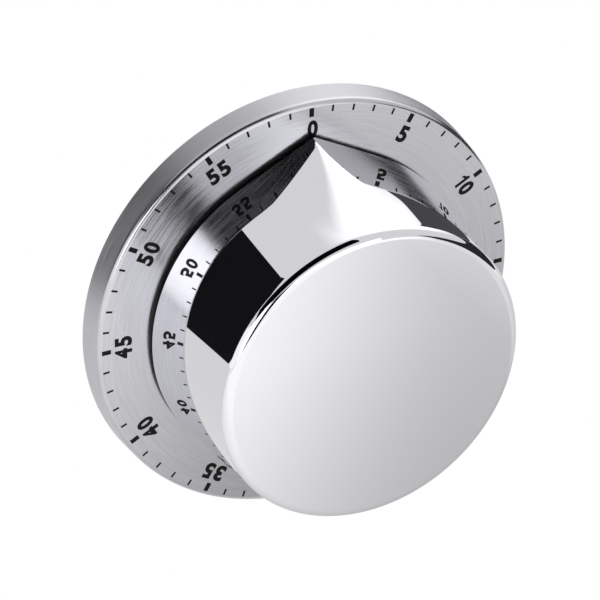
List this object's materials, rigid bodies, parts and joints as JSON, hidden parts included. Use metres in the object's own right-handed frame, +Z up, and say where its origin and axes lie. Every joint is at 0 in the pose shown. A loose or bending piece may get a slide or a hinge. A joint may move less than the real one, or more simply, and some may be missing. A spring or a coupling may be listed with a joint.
{
  "type": "kitchen timer",
  "caption": "Round wind-up kitchen timer: a steel dial disc with a minute scale, a polished pointer knob, a gear movement and bell inside, and a magnet on the back.",
  "frame": {"origin": "centre of the magnet's back face, on the wall side", "axes": "+Z up through the zero mark, +X to the right as seen from the front, and the front faces -Y; +Y is the magnet's outward normal, into the steel surface"},
  "size_m": [0.079, 0.0324, 0.079],
  "materials": {
    "steel_dial": "satin, circular sheen, black printed scale",
    "chrome_knob": "mirror polish",
    "black_abs": "fine moulded texture",
    "white_abs": "moulded",
    "ferrite": "ground",
    "zinc_steel": "zinc plated",
    "plate_brass": "rolled sheet",
    "brass": "stamped",
    "spring_steel": "blued",
    "bell_steel": "nickel plated",
    "screw_black": "blackened"
  },
  "bodies": {
    "case": {"dial_shell": "steel_dial", "rear_cover": "black_abs", "magnet": "ferrite", "keeper_plate": "zinc_steel", "cover_screws": "screw_black", "movement_carrier": "white_abs", "dial_screws": "zinc_steel", "plate_screws": "zinc_steel", "back_plate": "plate_brass", "front_plate": "plate_brass", "pillars": "zinc_steel", "pillar_nuts": "zinc_steel", "back_bushing": "brass", "front_bushing": "brass", "bell": "bell_steel", "bell_post": "brass", "bell_screw": "zinc_steel", "mainspring": "spring_steel", "lever_screw": "zinc_steel", "lever_spring": "zinc_steel"},
    "knob": {"knob_shell": "chrome_knob", "knob_insert": "black_abs", "main_arbor": "zinc_steel", "main_wheel": "brass", "ratchet_wheel": "zinc_steel", "click_pin": "zinc_steel", "click_spring": "zinc_steel", "zero_cam": "zinc_steel", "cam_clip": "zinc_steel"},
    "click": {"click": "zinc_steel"},
    "second": {"second_arbor": "zinc_steel", "second_wheel": "brass", "second_pinion": "zinc_steel"},
    "third": {"third_arbor": "zinc_steel", "third_wheel": "brass", "third_pinion": "zinc_steel"},
    "escape": {"escape_arbor": "zinc_steel", "escape_wheel": "brass", "escape_pinion": "zinc_steel"},
    "balance": {"balance_staff": "zinc_steel", "balance_wheel": "brass", "pallet": "zinc_steel"},
    "strike": {"strike_arbor": "zinc_steel", "strike_pinion": "zinc_steel", "strike_star": "brass"},
    "hammer": {"hammer_arbor": "zinc_steel", "hammer_arm": "zinc_steel", "hammer_head": "brass", "hammer_tail_arm": "zinc_steel"},
    "stop_lever": {"stop_lever": "zinc_steel"}
  },
  "joints": [
    {"name": "knob_turn", "type": "hinge", "parent": "case", "child": "knob", "pos_m": [0, 0, 0], "axis": [0, 1, 0], "range_deg": [0, 354]},
    {"name": "click_swing", "type": "hinge", "parent": "knob", "child": "click", "pos_m": [0.00243, -0.0148, 0.00908], "axis": [0, 1, 0], "range_deg": [0, 10]},
    {"name": "second_spin", "type": "hinge", "parent": "case", "child": "second", "pos_m": [-0.01212, -0.0102, 0.007], "axis": [0, 1, 0], "range_deg": [-2124, 0]},
    {"name": "third_spin", "type": "hinge", "parent": "case", "child": "third", "pos_m": [-0.01596, -0.0102, -0.00114], "axis": [0, 1, 0], "range_deg": [0, 10620]},
    {"name": "escape_spin", "type": "hinge", "parent": "case", "child": "escape", "pos_m": [-0.0136, -0.0102, -0.00743], "axis": [0, 1, 0], "range_deg": [-53100, 0]},
    {"name": "strike_spin", "type": "hinge", "parent": "case", "child": "strike", "pos_m": [0.00826, -0.0102, 0.0118], "axis": [0, 1, 0], "range_deg": [-1770, 0]},
    {"name": "balance_swing", "type": "hinge", "parent": "case", "child": "balance", "pos_m": [-0.00843, -0.0102, -0.01301], "axis": [0, 1, 0], "range_deg": [-15, 15]},
    {"name": "hammer_swing", "type": "hinge", "parent": "case", "child": "hammer", "pos_m": [0.01644, -0.0102, 0.00599], "axis": [0, 1, 0], "range_deg": [0, 12]},
    {"name": "lever_swing", "type": "hinge", "parent": "case", "child": "stop_lever", "pos_m": [0.00775, -0.025, -0.01342], "axis": [0, -1, 0], "range_deg": [-5, 0]}
  ],
  "couplings": [
    {"joint": "second_spin", "follows": "knob_turn", "ratio": -6},
    {"joint": "third_spin", "follows": "knob_turn", "ratio": 30},
    {"joint": "escape_spin", "follows": "knob_turn", "ratio": -150},
    {"joint": "strike_spin", "follows": "knob_turn", "ratio": -5}
  ]
}
